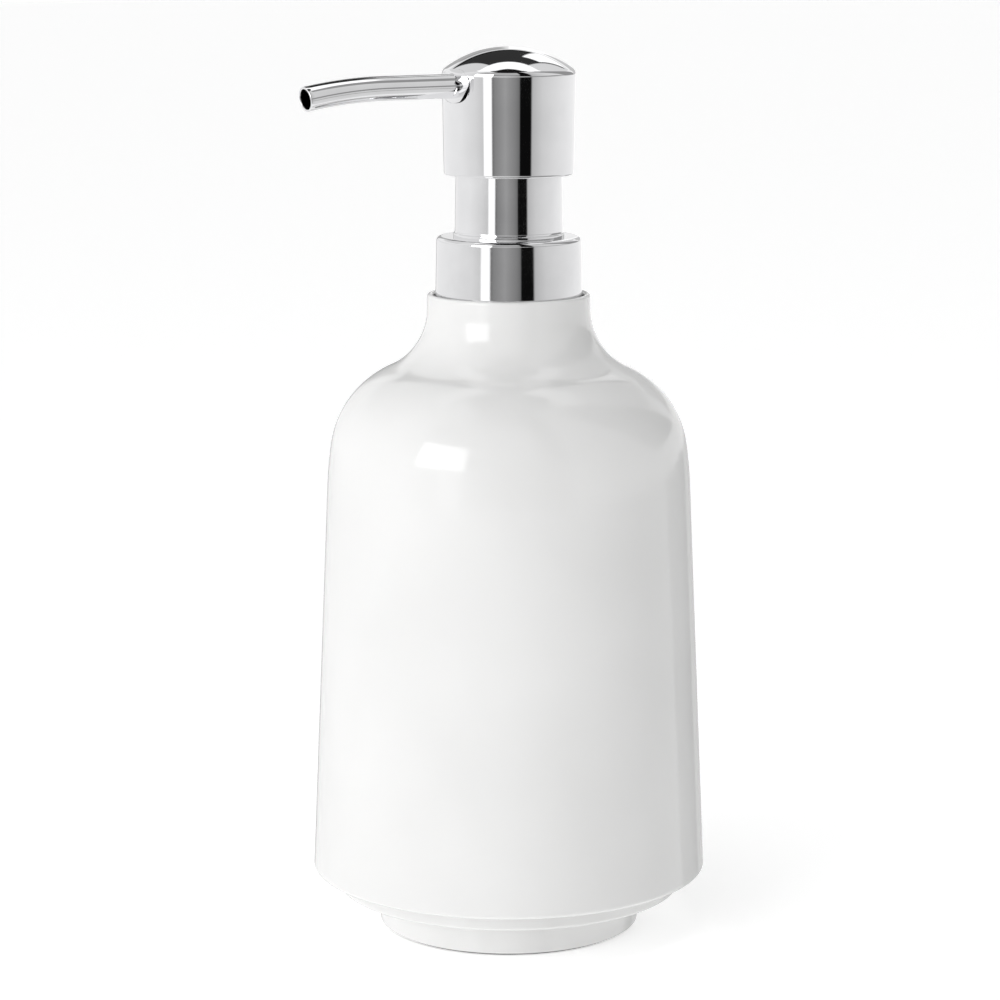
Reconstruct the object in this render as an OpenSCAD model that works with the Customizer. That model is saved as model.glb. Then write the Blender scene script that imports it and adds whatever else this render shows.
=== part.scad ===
// Countertop soap pump dispenser: a moulded bottle with a sprung lotion pump.
// Millimetres, +Z up, origin at the centre of the foot on the table, spout towards -X.

/* [Bottle] */
// Radius of the body at its lower edge, the widest place
body_r = 42.5; // [38:0.1:52]
// How far the wall leans in from there to the start of the shoulder
shoulder_in = 3.6; // [1:0.1:6]
// Height of the start of the shoulder above the table
shoulder_z = 96.2; // [78:0.1:118]
// Height of the body's lower edge above the table
body_z = 12.4; // [10:0.1:16]
// Wall of the bottle
wall = 2.6; // [1.8:0.1:3.6]
// Rounding of the body's lower edge
edge_r = 1; // [0.4:0.1:1.6]
// Radius of the slow curve that starts the shoulder
brow_arc_r = 95.3; // [60:0.1:140]
// Angle at which the slow curve ends
brow_a = 8; // [5:0.5:12]
// Radius of the round of the shoulder
crown_arc_r = 21.2; // [17:0.1:26]
// Radius of the hollow curve under the rim
throat_arc_r = 14; // [11:0.1:18]
// Width of the rim around the recess
rim_w = 1.25; // [0.9:0.05:2.5]
// Height of the rim above the hollow curve
rim_h = 3.1; // [2:0.1:5]
// Depth of the recess that the collar sinks into
recess_depth = 8.2; // [7:0.1:10]

/* [Foot] */
// How far the step is set in from the body's lower edge
step_in = 5.2; // [3:0.1:8]
// Height of the step
step_h = 4; // [3:0.1:5]
// How far the foot's top is set in from the step
foot_in = 7.9; // [4:0.1:12]
// How far the foot leans in from its top to its bottom
foot_lean = 1.3; // [0.5:0.1:3]
// Height of the pad that stands proud of the foot
pad_proud = 0.5; // [0.3:0.1:1]
// Thickness of the non-slip pad
pad_t = 1.7; // [1.2:0.1:2.4]
// Width of the ring of the foot around the pad
foot_rim_w = 1; // [0.8:0.1:2]
// Floor and walls of the base plug
plug_t = 2.5; // [1.8:0.1:3]
// Height of the plug's ring inside the body
spigot_h = 4.5; // [3:0.1:7]

/* [Neck] */
// Wall of the threaded neck
finish_wall = 1.9; // [1.4:0.05:2.5]
// Height of the threaded neck above its flange
finish_h = 14.3; // [13:0.1:16]
// Gap between the neck's bore and the pump's cup
cup_gap = 0.8; // [0.4:0.1:1.5]
// Height of the thread on the neck
neck_thread_h = 0.7; // [0.4:0.05:0.8]
// Rise of the thread in one turn
thread_pitch = 4.2; // [3:0.1:4.6]
// Turns of the thread on the neck
neck_turns = 1.25; // [1:0.25:1.5]
// Turns of the thread in the closure
closure_turns = 1; // [0.75:0.25:1.25]
// Thickness of the insert's flange
insert_flange_t = 1.4; // [1:0.1:2]

/* [Collar] */
// Wall of the closure and its cover at their lower edge
closure_wall = 1.95; // [1.6:0.05:2.6]
// How far the collar leans in from its bottom to its top
collar_lean = 0.4; // [0:0.05:0.6]
// Gap between the collar's lower edge and the insert's flange
collar_gap = 0.6; // [0.3:0.1:2]
// Rounding of the collar's top edge
collar_edge_r = 1; // [0.7:0.1:1.4]
// Sheet of the collar and sleeve covers
cover_t = 0.6; // [0.4:0.05:0.7]
// Wall of the tower and its sleeve at their foot
tower_wall = 1.9; // [1.6:0.05:2.2]
// How far the sleeve leans in from its foot to its top
sleeve_lean = 0.25; // [0:0.05:0.5]
// Height of the sleeve hidden in the head when the head is up
sleeve_hidden = 2.1; // [1:0.1:4]

/* [Pump] */
// Travel of the head
stroke = 12; // [8:0.5:13]
// Bore of the pump cylinder
pump_bore_r = 7; // [6:0.1:7.4]
// Wall of the pump cylinder
pump_wall = 1.2; // [0.9:0.1:1.3]
// Outer radius of the stem
stem_r = 3; // [2.6:0.05:3.4]
// Bore of the stem
stem_bore_r = 1.7; // [1.4:0.05:1.9]
// Length of the piston
piston_h = 9.4; // [7:0.1:11]
// Height of the sprung space below the piston at rest
spring_h = 26; // [24:0.5:32]
// Radius to the middle of the spring's wire
spring_r = 5.3; // [5.2:0.05:5.3]
// Radius of the spring's wire
wire_r = 0.45; // [0.35:0.05:0.5]
// Turns of the spring
spring_turns = 8; // [6:1:10]
// Radius of the inlet ball
inlet_ball_r = 2.5; // [2.2:0.05:2.7]
// Radius of the outlet ball
outlet_ball_r = 2.2; // [2:0.05:2.4]
// Lift of both balls
ball_lift = 1.5; // [0.8:0.1:1.8]
// Outer radius of the dip tube
dip_r = 3; // [2.5:0.05:3.2]
// Bore of the dip tube
dip_bore_r = 2.1; // [1.6:0.05:2.2]
// Gap between the dip tube and the floor of the bottle
dip_gap = 3.1; // [2:0.1:8]

/* [Head] */
// How far the head's lower edge stands out past the sleeve's foot
head_over = 2.25; // [2:0.05:3]
// How far the head leans out from its bottom to its top
head_flare = 0.35; // [0:0.05:1]
// Gap between the collar and the head when it is down
head_rest = 1.1; // [0.6:0.1:3]
// Height of the top of the dome above the spout's middle
dome_up = 7.9; // [7.6:0.1:10]
// Rise of the dome
dome_rise = 4.2; // [3:0.1:4.6]
// Rounding between the side and the dome
head_edge_r = 1.6; // [1.2:0.1:2]
// Wall of the head
head_wall = 0.8; // [0.6:0.05:1]
// Height of the spout's middle above the underside of the head's core
spout_up = 3.7; // [3.4:0.1:4.2]

/* [Spout] */
// Outer radius of the spout
spout_r = 2.6; // [2.2:0.05:2.8]
// Wall of the spout
spout_wall = 0.5; // [0.4:0.05:0.7]
// Distance from the pump's axis to where the spout starts to bend
spout_straight = 30; // [18:0.5:34]
// Radius of the spout's bend
spout_bend_r = 110; // [80:5:260]
// Angle of the spout's bend
spout_bend_a = 10; // [4:0.5:14]
// Radius of the pocket in the head around the spout
pocket_r = 3.2; // [3.1:0.05:3.4]
// Half of the extra width of the pocket
pocket_side = 1.6; // [0:0.1:2]
// Depth of the pocket behind the head's side
pocket_depth = 2.4; // [1.6:0.1:3.4]

/* [Hidden] */
$fn = 96;
eps = 0.5;              // how far a cutter runs past the face it opens

// Clearances
press_gap = 0.02;       // radial, between pieces that are pressed together
run_gap = 0.05;         // radial, a piece that slides in another
turn_gap = 0.35;        // radial, a piece that turns round another
lip_gap = 0.4;          // the collar in the recess of the rim
thread_clear = 0.1;     // radial, between the crests of the two threads
ball_gap = 0.02;        // between a ball and its seat
stop_gap = 1;           // along the axis, left at the bottom of the stroke

// Radii from the cup of the pump outwards: neck, closure, collar and rim, then tower, sleeve and head
cup_bore_r = pump_bore_r + 1.7;
cup_r = cup_bore_r + 1.1;
finish_bore_r = cup_r + cup_gap;
finish_r = finish_bore_r + finish_wall;
closure_thread_h = 0.45;
closure_bore_r = finish_r + neck_thread_h + thread_clear + closure_thread_h;
collar_low_r = closure_bore_r + closure_wall;
collar_top_r = collar_low_r - collar_lean;
recess_r = collar_low_r + lip_gap;
neck_r = recess_r + rim_w;
guide_flange_r = cup_bore_r + 0.5;
boss_r = stem_r + 2.4;
tower_bore_r = max(guide_flange_r, boss_r) + turn_gap;
sleeve_low_r = tower_bore_r + tower_wall;
sleeve_top_r = sleeve_low_r - sleeve_lean;
head_low_r = sleeve_low_r + head_over;
head_top_r = head_low_r + head_flare;

// Bottle outline: each curve starts where the one before ends, in the same direction
shoulder_r = body_r - shoulder_in;
wall_lean = atan2(shoulder_in, shoulder_z - body_z);
brow_c = [shoulder_r - brow_arc_r * cos(wall_lean), shoulder_z - brow_arc_r * sin(wall_lean)];
brow_end = brow_c + brow_arc_r * [cos(brow_a), sin(brow_a)];
crown_c = brow_end - crown_arc_r * [cos(brow_a), sin(brow_a)];
throat_a = acos((neck_r - crown_c[0] + throat_arc_r) / (crown_arc_r + throat_arc_r));
throat_c = crown_c + (crown_arc_r + throat_arc_r) * [cos(throat_a), sin(throat_a)];
rim_z = throat_c[1] + rim_h;
rim_round = rim_w / 2;
seat_z = rim_z - recess_depth;
seat_low_z = seat_z - wall;
throat_seat_a = asin((throat_c[1] - seat_low_z) / (throat_arc_r + wall));

// Base
step_r = body_r - step_in;
foot_top_r = step_r - foot_in;
foot_low_r = foot_top_r - foot_lean;
opening_r = step_r - 1.2;
spigot_r = opening_r - press_gap;
step_z = body_z - step_h;
pad_r = foot_low_r - foot_rim_w;
pocket_roof_z = step_z + 1.5;
foot_edge_r = 0.8;
pocket_wall_r = pad_r - plug_t;

// Neck and closure
finish_z = seat_z + insert_flange_t;
finish_top_z = finish_z + finish_h;
thread_z = finish_top_z - 1.8 * thread_pitch;
insert_skirt_r = finish_bore_r + 3;
insert_low_z = seat_low_z - 2;
gasket_t = 1;
housing_flange_t = 1.5;
flange_z = finish_top_z + gasket_t;
lid_z = flange_z + housing_flange_t;
collar_top_z = lid_z + 2.2;
collar_z = finish_z + collar_gap;
closure_top_z = collar_top_z - cover_t;
head_z = collar_top_z + stroke + head_rest;
sleeve_top_z = head_z + sleeve_hidden;
tower_top_z = sleeve_top_z - cover_t;

// Pump cylinder, from the flange down
cup_h = 9.1;
cup_z = flange_z - cup_h;
pump_r = pump_bore_r + pump_wall;
guide_low_z = cup_z + 1.5;
hub_r = stem_r + 2.2;
hub_top_z = lid_z + 7.4;
piston_top_z = guide_low_z - 0.3;
piston_z = piston_top_z - piston_h;
cap_flange_t = 1.8;
cap_z = piston_z - cap_flange_t;
cage_top_z = cap_z - spring_h;
cage_t = 1.3;
barrel_floor_z = cage_top_z - cage_t;
cage_hub_h = 1.5;
ball_room_r = inlet_ball_r + 0.6;
inlet_r = inlet_ball_r - 0.9;
ball_seat_drop = sqrt(2) * (inlet_ball_r + ball_gap);
inlet_ball_z = barrel_floor_z - cage_hub_h - 0.3 - ball_lift - inlet_ball_r;
seat_low_point_z = inlet_ball_z + inlet_r - ball_seat_drop;
socket_top_z = seat_low_point_z - 3.6;
socket_h = 10;
socket_wall = 1.3;
dip_z = body_z + dip_gap;

// Head
core_z = sleeve_top_z + stroke + stop_gap;
spout_axis_z = core_z + spout_up;
head_top_z = spout_axis_z + dome_up;
dome_half_w = head_top_r - 1;
dome_r = (dome_half_w * dome_half_w + dome_rise * dome_rise) / (2 * dome_rise);
dome_c_z = head_top_z - dome_r;
head_edge_c_z = dome_c_z + sqrt(pow(dome_r - head_edge_r, 2) - pow(head_top_r - head_edge_r, 2));
core_top_z = head_edge_c_z + 0.2;
boss_z = max(hub_top_z + stroke + stop_gap, core_z - 8);
stem_top_z = boss_z + 6;
outlet_room_r = outlet_ball_r + 0.5;
outlet_ball_z = stem_top_z + sqrt(pow(outlet_ball_r, 2) - pow(stem_bore_r, 2)) + ball_gap;
outlet_room_top_z = outlet_ball_z + outlet_ball_r + ball_lift + 0.1;
spout_bore_r = spout_r - spout_wall;
spout_root = 5;

// Points along an arc after its start, so that curves join without a doubled point
function arc(c, r, a0, a1, n) = [for (i = [1:n]) c + r * [cos(a0 + (a1 - a0) * i / n), sin(a0 + (a1 - a0) * i / n)]];

// Outline of the shoulder from the wall to the rim's side, or set inwards by a wall
function shoulder_line(inset, last_a) = concat(
    [[shoulder_r, shoulder_z] - inset * [cos(wall_lean), sin(wall_lean)]],
    arc(brow_c, brow_arc_r - inset, wall_lean, brow_a, 4),
    arc(crown_c, crown_arc_r - inset, brow_a, throat_a, 20),
    arc(throat_c, throat_arc_r + inset, 180 + throat_a, 180 + last_a, 18));

// Outline of the head from its side to the top of its dome, or set inwards by a wall
function dome_line(inset) =
    let (c = [head_top_r - head_edge_r, head_edge_c_z])
    let (a = atan2(head_edge_c_z - dome_c_z, head_top_r - head_edge_r))
    concat([c + [head_edge_r - inset, 0]],
        arc(c, head_edge_r - inset, 0, a, 8),
        arc([0, dome_c_z], dome_r - inset, a, 90, 12));

// Radius of a cone between two heights
function cone_r(r0, z0, r1, z1, z) = r0 + (r1 - r0) * (z - z0) / (z1 - z0);

function reversed(list) = [for (i = [len(list) - 1:-1:0]) list[i]];

// Solid of sections with the same number of points, swept in order and closed at both ends
module sweep(sections) {
    m = len(sections[0]);
    n = len(sections);
    sides = [for (i = [0:n - 2], j = [0:m - 1])
        let (k = (j + 1) % m)
        each [[i * m + j, (i + 1) * m + j, i * m + k], [i * m + k, (i + 1) * m + j, (i + 1) * m + k]]];
    ends = [[for (j = [0:m - 1]) j], [for (j = [m - 1:-1:0]) (n - 1) * m + j]];
    polyhedron([for (s = sections) each s], concat(sides, ends), convexity = 10);
}

// One helical thread. side is 1 outside a cylinder and -1 inside a bore
module thread(root_r, h, z, turns, side) {
    steps = 36;
    n = round(turns * steps);
    bury = 0.25;
    foot_w = thread_pitch * 0.42;
    crest_w = thread_pitch * 0.16;
    run_in = 8;
    sweep([for (i = [0:n])
        let (a = 360 * i / steps, mid = z + thread_pitch * i / steps)
        let (grow = min(1, i / run_in, (n - i) / run_in))
        let (crest = root_r + side * (grow * (h + bury / 2) - bury / 2))
        let (root = root_r - side * bury)
        let (line = [[root, -foot_w / 2], [crest, -crest_w / 2], [crest, crest_w / 2], [root, foot_w / 2]])
        [for (p = side > 0 ? reversed(line) : line) [p[0] * cos(a), p[0] * sin(a), mid + p[1]]]]);
}

// White shell with an open bottom, a shelf in the neck and a rounded rim
module bottle_body() {
    floor_z = body_z + wall;
    inner_foot_r = cone_r(body_r, body_z, shoulder_r, shoulder_z, floor_z) - wall / cos(wall_lean);
    color("white") rotate_extrude() polygon(concat(
        [[opening_r, body_z], [body_r - edge_r, body_z]],
        arc([body_r - edge_r, body_z + edge_r], edge_r, -90, 0, 6),
        shoulder_line(0, 0),
        [[neck_r, rim_z - rim_round]],
        arc([neck_r - rim_round, rim_z - rim_round], rim_round, 0, 180, 12),
        [[recess_r, seat_z], [insert_skirt_r + press_gap, seat_z], [insert_skirt_r + press_gap, seat_low_z]],
        reversed(shoulder_line(wall, throat_seat_a)),
        [[inner_foot_r, floor_z], [opening_r, floor_z]]));
}

// Plug that closes the body, with the step and the hollow foot below it
module base_plug() {
    color("white") rotate_extrude() polygon(concat(
        [[0, pocket_roof_z], [pocket_wall_r, pocket_roof_z], [pocket_wall_r, pad_t], [pad_r + press_gap, pad_t]],
        [[pad_r + press_gap, pad_proud], [foot_low_r - foot_edge_r / 2, pad_proud]],
        arc([foot_low_r - foot_edge_r / 2, pad_proud + foot_edge_r / 2], foot_edge_r / 2, -90, 0, 5),
        [[foot_top_r, step_z], [step_r - foot_edge_r, step_z]],
        arc([step_r - foot_edge_r, step_z + foot_edge_r], foot_edge_r, -90, 0, 5),
        [[step_r, body_z], [spigot_r, body_z], [spigot_r, body_z + spigot_h]],
        [[spigot_r - plug_t, body_z + spigot_h], [spigot_r - plug_t, body_z], [0, body_z]]));
}

// Non-slip disc under the foot
module foot_pad() {
    color("gainsboro") rotate_extrude() polygon([
        [0, 0], [pad_r - 0.3, 0], [pad_r, 0.3], [pad_r, pad_t], [0, pad_t]]);
}

// Threaded neck bonded into the bottle
module neck_insert() {
    lead = 0.6;
    color("ivory") {
        rotate_extrude() polygon([
            [finish_bore_r, insert_low_z], [insert_skirt_r, insert_low_z], [insert_skirt_r, seat_z],
            [recess_r - press_gap, seat_z], [recess_r - press_gap, finish_z], [finish_r, finish_z],
            [finish_r, finish_top_z - lead], [finish_r - lead, finish_top_z], [finish_bore_r, finish_top_z]]);
        thread(finish_r, neck_thread_h, thread_z, neck_turns, 1);
    }
}

// Washer between the neck and the pump's flange
module neck_gasket() {
    color("dimgray") translate([0, 0, finish_top_z]) difference() {
        cylinder(r = finish_r - 0.1, h = gasket_t);
        translate([0, 0, -eps]) cylinder(r = cup_r + 0.15, h = gasket_t + 2 * eps);
    }
}

// Pump cylinder with its flange, cup, ball seat and tube socket
module pump_housing() {
    nozzle_r = dip_r + socket_wall;
    shoulder_drop = pump_r - nozzle_r;
    color("white") difference() {
        rotate_extrude() polygon([
            [inlet_r, socket_top_z], [dip_r + press_gap, socket_top_z], [dip_r + press_gap, socket_top_z - socket_h],
            [nozzle_r, socket_top_z - socket_h], [nozzle_r, barrel_floor_z - pump_wall - shoulder_drop],
            [pump_r, barrel_floor_z - pump_wall], [pump_r, cup_z], [cup_r, cup_z + cup_r - pump_r],
            [cup_r, flange_z], [finish_r + 0.2, flange_z], [finish_r + 0.2, lid_z], [cup_bore_r, lid_z],
            [cup_bore_r, cup_z + cup_bore_r - pump_bore_r], [pump_bore_r, cup_z],
            [pump_bore_r, barrel_floor_z], [ball_room_r, barrel_floor_z],
            [ball_room_r, seat_low_point_z + ball_room_r - inlet_r], [inlet_r, seat_low_point_z]]);
        // Air inlet that lets the bottle breathe
        translate([0, 0, cup_z - 2]) rotate([0, 90, 0]) cylinder(r = 0.6, h = pump_r + eps);
    }
}

// Ring snapped into the cup, whose hub guides the stem
module stem_guide() {
    skirt_r = cup_bore_r - press_gap;
    skirt_t = 1.1;
    web_z = lid_z - 1.4;
    rim_top_z = lid_z + 1.2;
    color("white") rotate_extrude() polygon([
        [stem_r + run_gap, guide_low_z], [hub_r, guide_low_z], [hub_r, web_z], [skirt_r - skirt_t, web_z],
        [skirt_r - skirt_t, guide_low_z + 3], [skirt_r, guide_low_z + 3], [skirt_r, lid_z],
        [guide_flange_r, lid_z], [guide_flange_r, rim_top_z], [hub_r, rim_top_z], [hub_r, hub_top_z - 0.5],
        [hub_r - 0.5, hub_top_z], [stem_r + run_gap, hub_top_z]]);
}

// Tube to the bottom of the bottle, cut on a slant so that it can't seal on the floor
module dip_tube() {
    color("whitesmoke") difference() {
        translate([0, 0, dip_z]) cylinder(r = dip_r, h = socket_top_z - dip_z);
        translate([0, 0, dip_z - eps]) cylinder(r = dip_bore_r, h = socket_top_z - dip_z + 2 * eps);
        translate([dip_r, 0, dip_z]) rotate([0, -45, 0]) translate([-4 * dip_r, -2 * dip_r, -4 * dip_r])
            cube([8 * dip_r, 4 * dip_r, 4 * dip_r]);
    }
}

// Slotted disc that keeps the inlet ball in its room and carries the spring
module ball_cage() {
    slots = 3;
    slot_w = 1.3;
    slot_l = ball_room_r + 0.9;
    color("white") difference() {
        union() {
            translate([0, 0, barrel_floor_z]) cylinder(r = pump_bore_r - press_gap, h = cage_t);
            translate([0, 0, barrel_floor_z - cage_hub_h]) cylinder(r = ball_room_r - press_gap, h = cage_hub_h + 0.1);
        }
        for (i = [0:slots - 1]) rotate([0, 0, i * 360 / slots])
            translate([0, -slot_w / 2, barrel_floor_z - cage_hub_h - eps])
                cube([slot_l, slot_w, cage_hub_h + cage_t + 2 * eps]);
    }
}

// Ball that lets liquid up from the tube
module inlet_ball() {
    color("silver") translate([0, 0, inlet_ball_z]) sphere(r = inlet_ball_r);
}

// Screw cap with the tower that the sleeve covers
module closure() {
    skirt_low_r = collar_low_r - cover_t - press_gap;
    skirt_top_r = collar_top_r - cover_t - press_gap;
    tower_low_r = sleeve_low_r - cover_t - press_gap;
    tower_top_r = sleeve_top_r - cover_t - press_gap;
    bevel = collar_edge_r - 0.2;
    bevel_r = cone_r(skirt_low_r, collar_z, skirt_top_r, collar_top_z, closure_top_z - bevel);
    color("whitesmoke") {
        rotate_extrude() polygon([
            [closure_bore_r, collar_z], [skirt_low_r, collar_z], [bevel_r, closure_top_z - bevel],
            [bevel_r - bevel, closure_top_z], [tower_low_r, closure_top_z], [tower_low_r, collar_top_z],
            [tower_top_r, tower_top_z], [tower_bore_r, tower_top_z], [tower_bore_r, lid_z], [closure_bore_r, lid_z]]);
        thread(closure_bore_r, closure_thread_h, thread_z - thread_pitch / 2, closure_turns, -1);
    }
}

// Polished ring pressed over the closure
module collar_cover() {
    inner_r = sleeve_low_r - cover_t;
    shell_r = cone_r(collar_low_r, collar_z, collar_top_r, collar_top_z, collar_top_z - collar_edge_r);
    edge_in = max(collar_edge_r - cover_t, 0.1);
    color("silver") rotate_extrude() polygon(concat(
        [[collar_low_r - cover_t, collar_z], [collar_low_r, collar_z]],
        [[shell_r, collar_top_z - collar_edge_r]],
        arc([shell_r - collar_edge_r, collar_top_z - collar_edge_r], collar_edge_r, 0, 90, 8),
        [[inner_r, collar_top_z], [inner_r, closure_top_z], [shell_r - cover_t - edge_in, closure_top_z]],
        arc([shell_r - cover_t - edge_in, closure_top_z - edge_in], edge_in, 90, 0, 5)));
}

// Polished sleeve over the closure's tower, with a lip at its foot and a rolled top
module sleeve_cover() {
    lip_w = 0.3;
    lip_h = 0.6;
    top_round = 0.5;
    foot_r = cone_r(sleeve_low_r, collar_top_z, sleeve_top_r, sleeve_top_z, collar_top_z + lip_h + lip_w);
    color("silver") rotate_extrude() polygon(concat(
        [[sleeve_low_r - cover_t, collar_top_z], [sleeve_low_r + lip_w, collar_top_z]],
        [[sleeve_low_r + lip_w, collar_top_z + lip_h], [foot_r, collar_top_z + lip_h + lip_w]],
        [[sleeve_top_r, sleeve_top_z - top_round]],
        arc([sleeve_top_r - top_round, sleeve_top_z - top_round], top_round, 0, 90, 5),
        [[tower_bore_r - 0.4, sleeve_top_z], [tower_bore_r - 0.4, tower_top_z], [sleeve_top_r - cover_t, tower_top_z]]));
}

// Compression spring with closed ends
module return_spring() {
    steps = 20;
    sides = 8;
    n = spring_turns * steps;
    closed = 1.02 * 2 * wire_r / steps;
    low_z = cage_top_z + wire_r + 0.01;
    high_z = cap_z - wire_r - 0.01;
    open = (high_z - low_z - 2 * closed * steps) / (n - 2 * steps);
    function rise(i) = i < steps ? closed * i
        : i > n - steps ? high_z - low_z - closed * (n - i) : closed * steps + open * (i - steps);
    color("silver") sweep([for (i = [0:n])
        let (a = 360 * i / steps)
        [for (j = [0:sides - 1])
            let (b = -360 * j / sides, r = spring_r + wire_r * cos(b))
            [r * cos(a), r * sin(a), low_z + rise(i) + wire_r * sin(b)]]]);
}

// Head shell: a domed cup with a pocket in its side for the spout
module head_shell() {
    low_in_r = head_low_r - head_wall;
    color("silver") difference() {
        rotate_extrude() polygon(concat(
            [[low_in_r, head_z], [head_low_r - 0.2, head_z], [head_low_r, head_z + 0.2]],
            dome_line(0),
            reversed(dome_line(head_wall))));
        spout_pocket(head_top_r + eps, head_top_r - 2 * head_wall - 1.5);
    }
}

// Oval prism along -X between two distances from the axis
module spout_pocket(far, near) {
    translate([-far, 0, spout_axis_z]) rotate([0, 90, 0]) {
        for (s = [-1, 1]) translate([0, s * pocket_side, 0]) cylinder(r = pocket_r, h = far - near);
        translate([-pocket_r, -pocket_side, 0]) cube([2 * pocket_r, 2 * pocket_side, far - near]);
    }
}

// Plastic core that holds the shell, the stem and the spout
module actuator_core() {
    side_low_r = cone_r(head_low_r, head_z, head_top_r, head_edge_c_z, core_z) - head_wall - press_gap;
    side_top_r = head_top_r - head_wall - press_gap;
    bevel = head_edge_r - head_wall;
    crown_r = side_top_r - bevel - 1.8;
    crown_z = dome_c_z + sqrt(pow(dome_r - head_wall, 2) - pow(crown_r, 2)) - press_gap;
    pocket_floor = side_low_r - pocket_depth;
    color("whitesmoke") difference() {
        union() {
            rotate_extrude() polygon([
                [0, core_z], [side_low_r, core_z], [side_top_r, core_top_z - bevel],
                [side_top_r - bevel, core_top_z], [crown_r, crown_z], [0, crown_z]]);
            translate([0, 0, boss_z]) cylinder(r = boss_r, h = core_z - boss_z + 0.2);
        }
        translate([0, 0, boss_z - eps]) cylinder(r = stem_r + press_gap, h = stem_top_z - boss_z + eps);
        translate([0, 0, stem_top_z - 0.1]) cylinder(r = outlet_room_r, h = outlet_room_top_z - stem_top_z + 0.1);
        translate([0, 0, outlet_room_top_z - 0.1]) cylinder(r = stem_bore_r, h = spout_axis_z - outlet_room_top_z + 0.1);
        translate([0, 0, spout_axis_z]) rotate([0, -90, 0]) cylinder(r = spout_bore_r, h = spout_root + 0.1);
        translate([-spout_root, 0, spout_axis_z]) rotate([0, -90, 0]) cylinder(r = spout_r + press_gap, h = head_top_r);
        spout_pocket(head_top_r + eps, pocket_floor);
    }
}

// Tube that leaves the head level, then bends down a little
module spout() {
    color("silver") translate([0, 0, spout_axis_z]) difference() {
        spout_run(spout_r, 0, 0);
        spout_run(spout_bore_r, eps, 1);
    }
}

// The spout's path about its own middle as a solid of one radius, run past its root and, by an angle, past its end
module spout_run(r, root_extra, end_extra_a) {
    bend_a = spout_bend_a + end_extra_a;
    translate([-spout_straight, 0, 0]) rotate([0, 90, 0])
        cylinder(r = r, h = spout_straight - spout_root + root_extra);
    translate([-spout_straight, 0, -spout_bend_r]) rotate([90, 0, 180])
        rotate_extrude(angle = bend_a, start = 90 - bend_a) translate([spout_bend_r, 0]) circle(r = r);
}

// Hollow rod between the piston and the core
module stem() {
    color("whitesmoke") difference() {
        translate([0, 0, piston_z]) cylinder(r = stem_r, h = stem_top_z - piston_z);
        translate([0, 0, piston_z - eps]) cylinder(r = stem_bore_r, h = stem_top_z - piston_z + 2 * eps);
    }
}

// Piston with a wiping lip at each end
module piston() {
    lip_r = pump_bore_r - run_gap;
    waist_r = lip_r - 0.9;
    lip_h = 1.4;
    cup_in = 1.6;
    color("gainsboro") rotate_extrude() polygon([
        [stem_r + press_gap, piston_z], [waist_r, piston_z], [lip_r, piston_z + 0.5], [lip_r, piston_z + lip_h],
        [waist_r, piston_z + lip_h + 1], [waist_r, piston_top_z - lip_h - 1], [lip_r, piston_top_z - lip_h],
        [lip_r, piston_top_z], [lip_r - 0.5, piston_top_z], [lip_r - cup_in, piston_top_z - 1.8],
        [stem_r + press_gap, piston_top_z - 1.8]]);
}

// Cap under the piston that the spring pushes on
module spring_cap() {
    spigot_top_r = spring_r - wire_r - 0.35;
    bore = 1;
    hub_h = 4;
    color("white") rotate_extrude() polygon([
        [bore, cap_z - 2.4], [spigot_top_r - 0.5, cap_z - 2.4], [spigot_top_r, cap_z],
        [pump_bore_r - 0.8, cap_z], [pump_bore_r - 0.8, piston_z], [stem_bore_r - press_gap, piston_z],
        [stem_bore_r - press_gap, piston_z + hub_h], [bore, piston_z + hub_h]]);
}

// Ball that keeps soap from running back down the stem
module outlet_ball() {
    color("silver") translate([0, 0, outlet_ball_z]) sphere(r = outlet_ball_r);
}

bottle_body();
base_plug();
foot_pad();
neck_insert();
neck_gasket();
pump_housing();
stem_guide();
dip_tube();
ball_cage();
inlet_ball();
closure();
collar_cover();
sleeve_cover();
return_spring();
head_shell();
actuator_core();
spout();
stem();
piston();
spring_cap();
outlet_ball();
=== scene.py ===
import math

import bmesh
import bpy
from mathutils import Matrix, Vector


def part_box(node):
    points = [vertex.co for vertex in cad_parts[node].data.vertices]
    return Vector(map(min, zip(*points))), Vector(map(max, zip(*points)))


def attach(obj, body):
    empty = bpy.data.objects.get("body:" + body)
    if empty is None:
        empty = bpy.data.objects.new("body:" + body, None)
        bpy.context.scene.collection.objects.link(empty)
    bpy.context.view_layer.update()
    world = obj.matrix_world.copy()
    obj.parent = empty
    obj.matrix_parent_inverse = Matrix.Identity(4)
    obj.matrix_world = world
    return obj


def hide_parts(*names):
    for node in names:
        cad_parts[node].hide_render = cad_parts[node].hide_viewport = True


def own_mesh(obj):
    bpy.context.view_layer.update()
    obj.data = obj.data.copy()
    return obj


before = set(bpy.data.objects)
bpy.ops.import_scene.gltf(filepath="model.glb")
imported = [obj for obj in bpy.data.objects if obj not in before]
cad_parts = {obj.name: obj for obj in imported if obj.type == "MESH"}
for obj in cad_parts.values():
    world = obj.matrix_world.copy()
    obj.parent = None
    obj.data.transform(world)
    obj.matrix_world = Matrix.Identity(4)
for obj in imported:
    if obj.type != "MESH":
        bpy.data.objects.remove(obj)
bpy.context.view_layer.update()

mm = 0.001
weld = {"outline": 0.002 * mm, "tube": 0.001 * mm, "cut": 0.004 * mm}  # vertices closer than this are joined
smoothDeg = {"spun": 32, "cut": 40}                                   # edges bent more than this stay sharp
print("frame loaded:", len(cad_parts), "nodes")


# ---------- small helpers for modelling ----------

def clearSelection():
    if bpy.context.object and bpy.context.object.mode != "OBJECT":
        bpy.ops.object.mode_set(mode="OBJECT")
    bpy.ops.object.select_all(action="DESELECT")


def makeActive(piece):
    clearSelection()
    piece.select_set(True)
    bpy.context.view_layer.objects.active = piece


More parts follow.
